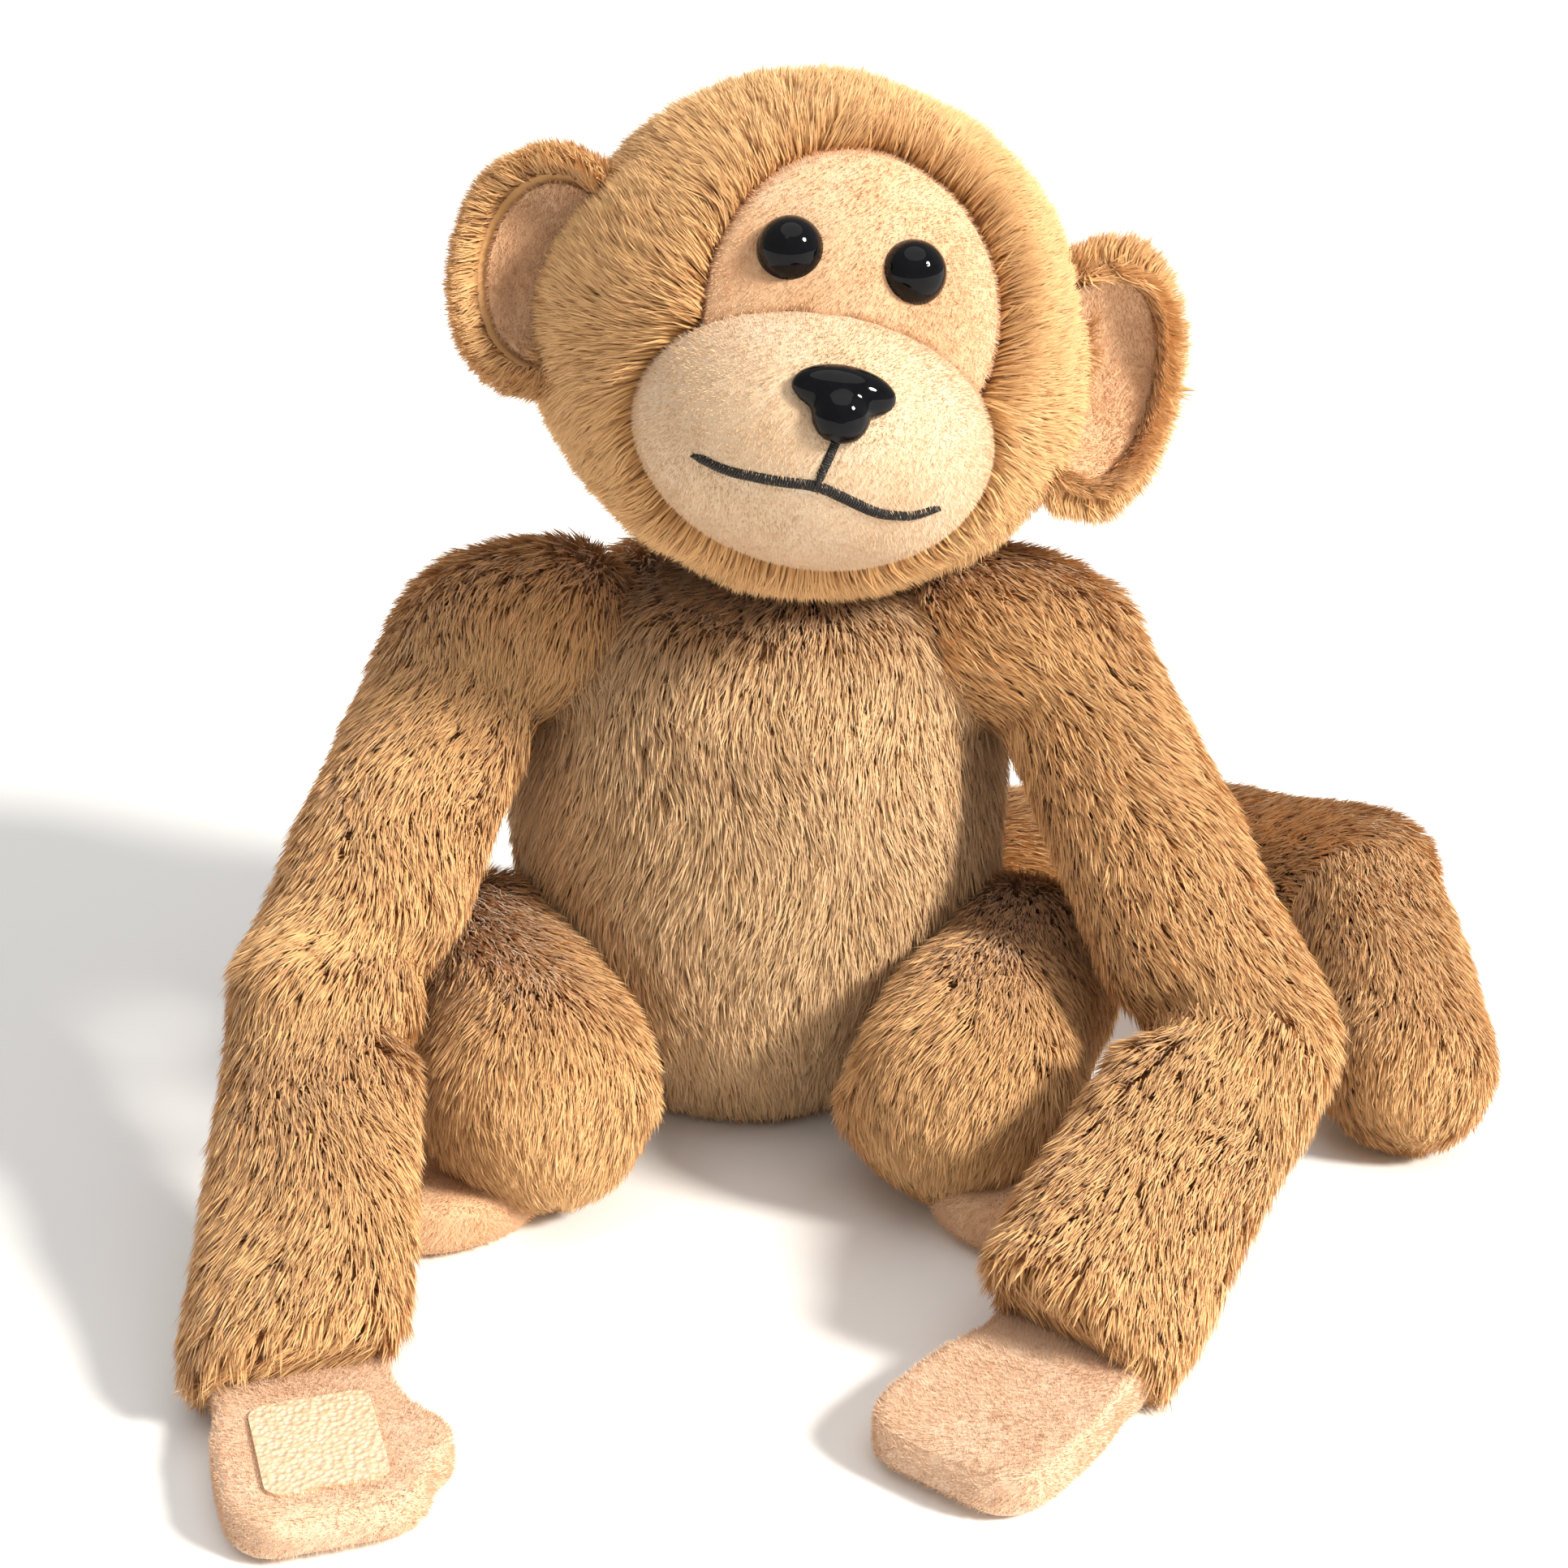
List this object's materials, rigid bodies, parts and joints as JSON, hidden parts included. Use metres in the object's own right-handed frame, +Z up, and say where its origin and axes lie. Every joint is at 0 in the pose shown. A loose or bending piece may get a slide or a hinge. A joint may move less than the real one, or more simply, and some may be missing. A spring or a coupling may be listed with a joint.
{
  "type": "plush monkey",
  "caption": "Seated plush monkey with a round head, cupped ears, long arms with flat hands, short legs with oval feet and a curled tail.",
  "frame": {"origin": "centre of the flat seat, on the surface that the toy sits on", "axes": "+Z up; the toy faces -Y; its own left side is on +X"},
  "size_m": [0.2505, 0.2454, 0.213],
  "materials": {
    "fur": "golden-tan medium-pile fur cloth",
    "stuffing": "white polyester fibre",
    "peach_plush": "peach short-pile cloth",
    "muzzle_plush": "cream short-pile cloth",
    "gloss_black": "glossy black moulded plastic",
    "washer_plastic": "white moulded plastic",
    "black_thread": "black embroidery thread",
    "hook_tape": "hook-and-loop tape"
  },
  "bodies": {
    "torso": {"torso_skin": "fur", "torso_stuffing": "stuffing"},
    "neck": {"neck_stuffing": "stuffing"},
    "head": {"face_panel": "peach_plush", "head_fur_skin": "fur", "head_stuffing": "stuffing", "left_eye": "gloss_black", "left_eye_washer": "washer_plastic", "lip_stitching": "black_thread", "mouth_stitching": "black_thread", "muzzle_panel": "muzzle_plush", "muzzle_stuffing": "stuffing", "nose": "gloss_black", "nose_washer": "washer_plastic", "right_eye": "gloss_black", "right_eye_washer": "washer_plastic"},
    "right_ear": {"right_ear_back": "fur", "right_ear_lining": "peach_plush"},
    "right_upper_arm": {"right_upper_arm_skin": "fur", "right_upper_arm_stuffing": "stuffing"},
    "right_forearm": {"right_forearm_skin": "fur", "right_forearm_stuffing": "stuffing"},
    "right_hand": {"right_hand_back": "peach_plush", "right_hand_palm": "peach_plush", "right_hand_stuffing": "stuffing", "right_palm_patch": "hook_tape"},
    "right_leg": {"right_leg_skin": "fur", "right_leg_stuffing": "stuffing"},
    "right_foot": {"right_foot_sole": "peach_plush", "right_foot_stuffing": "stuffing", "right_foot_top": "peach_plush"},
    "left_ear": {"left_ear_back": "fur", "left_ear_lining": "peach_plush"},
    "left_upper_arm": {"left_upper_arm_skin": "fur", "left_upper_arm_stuffing": "stuffing"},
    "left_forearm": {"left_forearm_skin": "fur", "left_forearm_stuffing": "stuffing"},
    "left_hand": {"left_hand_back": "peach_plush", "left_hand_palm": "peach_plush", "left_hand_stuffing": "stuffing", "left_palm_patch": "hook_tape"},
    "left_leg": {"left_leg_skin": "fur", "left_leg_stuffing": "stuffing"},
    "left_foot": {"left_foot_sole": "peach_plush", "left_foot_stuffing": "stuffing", "left_foot_top": "peach_plush"},
    "tail_root": {"tail_root_skin": "fur", "tail_root_stuffing": "stuffing"},
    "tail_middle": {"tail_middle_skin": "fur", "tail_middle_stuffing": "stuffing"},
    "tail_tip": {"tail_tip_skin": "fur", "tail_tip_stuffing": "stuffing"}
  },
  "joints": [
    {"name": "neck_turn", "type": "hinge", "parent": "torso", "child": "neck", "pos_m": [0.01401, -0.007, 0.12], "axis": [0.0462, -0.1154, 0.9922], "range_deg": [-45, 45]},
    {"name": "head_nod", "type": "hinge", "parent": "neck", "child": "head", "pos_m": [0.01401, -0.007, 0.12], "axis": [0.9785, 0.0437, -0.2017], "range_deg": [-15, 15]},
    {"name": "right_ear_fold", "type": "hinge", "parent": "head", "child": "right_ear", "pos_m": [-0.03289, -0.01073, 0.17447], "axis": [-0.1843, -0.2555, -0.9491], "range_deg": [-8, 15], "stiffness_Nm_per_rad": 0.004},
    {"name": "right_shoulder_swing", "type": "hinge", "parent": "torso", "child": "right_upper_arm", "pos_m": [-0.05191, -0.01287, 0.09898], "axis": [-0.9397, 0, -0.342], "range_deg": [-6, 120]},
    {"name": "right_elbow_bend", "type": "hinge", "parent": "right_upper_arm", "child": "right_forearm", "pos_m": [-0.07591, -0.07087, 0.05198], "axis": [-0.3118, -0.517, 0.7972], "range_deg": [-18, 71]},
    {"name": "right_wrist_fold", "type": "hinge", "parent": "right_forearm", "child": "right_hand", "pos_m": [-0.07459, -0.13518, 0.0053], "axis": [-0.9563, -0.2924, 0], "range_deg": [-60, 45]},
    {"name": "right_hip_turn", "type": "hinge", "parent": "torso", "child": "right_leg", "pos_m": [-0.04986, -0.0292, 0.03223], "axis": [-0.8599, -0.4666, -0.207], "range_deg": [-15, 20]},
    {"name": "right_ankle_tip", "type": "hinge", "parent": "right_leg", "child": "right_foot", "pos_m": [-0.03787, -0.0612, 0.0265], "axis": [-0.3907, 0.9205, 0], "range_deg": [-15, 12]},
    {"name": "left_ear_fold", "type": "hinge", "parent": "head", "child": "left_ear", "pos_m": [0.06517, -0.00635, 0.15425], "axis": [0.1843, 0.2555, 0.9491], "range_deg": [-8, 15], "stiffness_Nm_per_rad": 0.004},
    {"name": "left_shoulder_swing", "type": "hinge", "parent": "torso", "child": "left_upper_arm", "pos_m": [0.06554, -0.01212, 0.09771], "axis": [-0.9397, 0, 0.342], "range_deg": [-3, 120]},
    {"name": "left_elbow_bend", "type": "hinge", "parent": "left_upper_arm", "child": "left_forearm", "pos_m": [0.09854, -0.06911, 0.04071], "axis": [-0.3006, 0.5817, -0.7558], "range_deg": [-55, 24]},
    {"name": "left_wrist_fold", "type": "hinge", "parent": "left_forearm", "child": "left_hand", "pos_m": [0.06071, -0.12661, 0.0053], "axis": [-0.7771, 0.6293, 0], "range_deg": [-60, 45]},
    {"name": "left_hip_turn", "type": "hinge", "parent": "torso", "child": "left_leg", "pos_m": [0.0588, -0.02734, 0.03128], "axis": [-0.8587, 0.4307, 0.2778], "range_deg": [-15, 10]},
    {"name": "left_ankle_tip", "type": "hinge", "parent": "left_leg", "child": "left_foot", "pos_m": [0.0458, -0.05834, 0.0265], "axis": [-0.7431, -0.6691, 0], "range_deg": [-15, 12]},
    {"name": "tail_swing", "type": "hinge", "parent": "torso", "child": "tail_root", "pos_m": [0.01561, 0.0559, 0.01906], "axis": [0, 0, 1], "range_deg": [0, 110]},
    {"name": "tail_middle_curl", "type": "hinge", "parent": "tail_root", "child": "tail_middle", "pos_m": [0.10261, 0.0429, 0.02806], "axis": [0.0717, -0.1969, -0.9778], "range_deg": [-41, 33]},
    {"name": "tail_tip_curl", "type": "hinge", "parent": "tail_middle", "child": "tail_tip", "pos_m": [0.13461, 0.0049, 0.03806], "axis": [0.6585, 0.3842, -0.6472], "range_deg": [-50, 32]}
  ]
}
